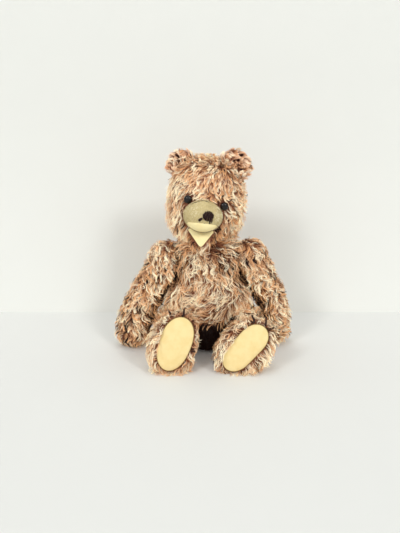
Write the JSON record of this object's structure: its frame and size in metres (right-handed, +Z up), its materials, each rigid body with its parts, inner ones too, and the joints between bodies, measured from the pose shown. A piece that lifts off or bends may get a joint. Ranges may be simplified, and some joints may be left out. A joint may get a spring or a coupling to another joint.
{
  "type": "jointed teddy bear",
  "caption": "Old stuffed bear that sits with its legs out: worn pile cloth over wood wool, felt soles and open felt mouth, glass eyes, and disc joints at neck, shoulders and hips.",
  "frame": {"origin": "middle of the box's underside, on the surface that the bear sits on", "axes": "+Z up, the face towards -Y, the bear's own left at +X"},
  "size_m": [0.2295, 0.1567, 0.2598],
  "materials": {
    "pile_cloth": "long worn pile on a woven backing",
    "muzzle_cloth": "clipped short pile",
    "cream_felt": "aged wool felt",
    "wood_wool": "fine shavings packed hard",
    "black_thread": "twisted cotton thread",
    "dark_glass": "polished, opaque",
    "hardboard": "pressed board",
    "card": "grey card",
    "steel": "plain wire and plate"
  },
  "bodies": {
    "torso": {"torso_cover": "pile_cloth", "torso_stuffing": "wood_wool", "neck_torso_disc": "hardboard", "neck_torso_washer": "steel", "left_shoulder_torso_disc": "hardboard", "left_shoulder_torso_washer": "steel", "right_shoulder_torso_disc": "hardboard", "right_shoulder_torso_washer": "steel", "left_hip_torso_disc": "hardboard", "left_hip_torso_washer": "steel", "right_hip_torso_disc": "hardboard", "right_hip_torso_washer": "steel"},
    "head": {"head_cover": "pile_cloth", "head_stuffing": "wood_wool", "muzzle_cover": "muzzle_cloth", "left_eye": "dark_glass", "right_eye": "dark_glass", "left_ear": "pile_cloth", "right_ear": "pile_cloth", "nose_stitching": "black_thread", "mouth_stitch": "black_thread", "lip_felt": "cream_felt", "jaw_felt": "cream_felt", "neck_limb_disc": "hardboard", "neck_limb_washer": "steel", "neck_pin": "steel"},
    "left_arm": {"left_arm_cover": "pile_cloth", "left_arm_stuffing": "wood_wool", "left_arm_palm_felt": "cream_felt", "left_arm_claw_1": "black_thread", "left_shoulder_limb_disc": "hardboard", "left_shoulder_limb_washer": "steel", "left_shoulder_pin": "steel"},
    "right_arm": {"right_arm_cover": "pile_cloth", "right_arm_stuffing": "wood_wool", "right_arm_palm_felt": "cream_felt", "right_arm_claw_1": "black_thread", "right_arm_claw_2": "black_thread", "right_shoulder_limb_disc": "hardboard", "right_shoulder_limb_washer": "steel", "right_shoulder_pin": "steel"},
    "left_leg": {"left_leg_cover": "pile_cloth", "left_leg_stuffing": "wood_wool", "left_leg_sole_felt": "cream_felt", "left_leg_sole_card": "card", "left_leg_claw_1": "black_thread", "left_leg_claw_2": "black_thread", "left_hip_limb_disc": "hardboard", "left_hip_limb_washer": "steel", "left_hip_pin": "steel"},
    "right_leg": {"right_leg_cover": "pile_cloth", "right_leg_stuffing": "wood_wool", "right_leg_sole_felt": "cream_felt", "right_leg_sole_card": "card", "right_leg_claw_1": "black_thread", "right_leg_claw_2": "black_thread", "right_hip_limb_disc": "hardboard", "right_hip_limb_washer": "steel", "right_hip_pin": "steel"}
  },
  "joints": [
    {"name": "neck", "type": "hinge", "parent": "torso", "child": "head", "pos_m": [0.0032, 0.0269, 0.15], "axis": [0.0994, -0.0398, 0.9942], "range_deg": [-60, 60]},
    {"name": "left_shoulder", "type": "hinge", "parent": "torso", "child": "left_arm", "pos_m": [0.0449, 0.0299, 0.12], "axis": [-1, 0, 0], "continuous": true},
    {"name": "right_shoulder", "type": "hinge", "parent": "torso", "child": "right_arm", "pos_m": [-0.0315, 0.0269, 0.118], "axis": [-1, 0, 0], "continuous": true},
    {"name": "left_hip", "type": "hinge", "parent": "torso", "child": "left_leg", "pos_m": [0.0334, 0.0279, 0.027], "axis": [-1, 0, 0], "range_deg": [-100, 12]},
    {"name": "right_hip", "type": "hinge", "parent": "torso", "child": "right_leg", "pos_m": [-0.02, 0.0279, 0.027], "axis": [-1, 0, 0], "range_deg": [-100, 12]}
  ]
}
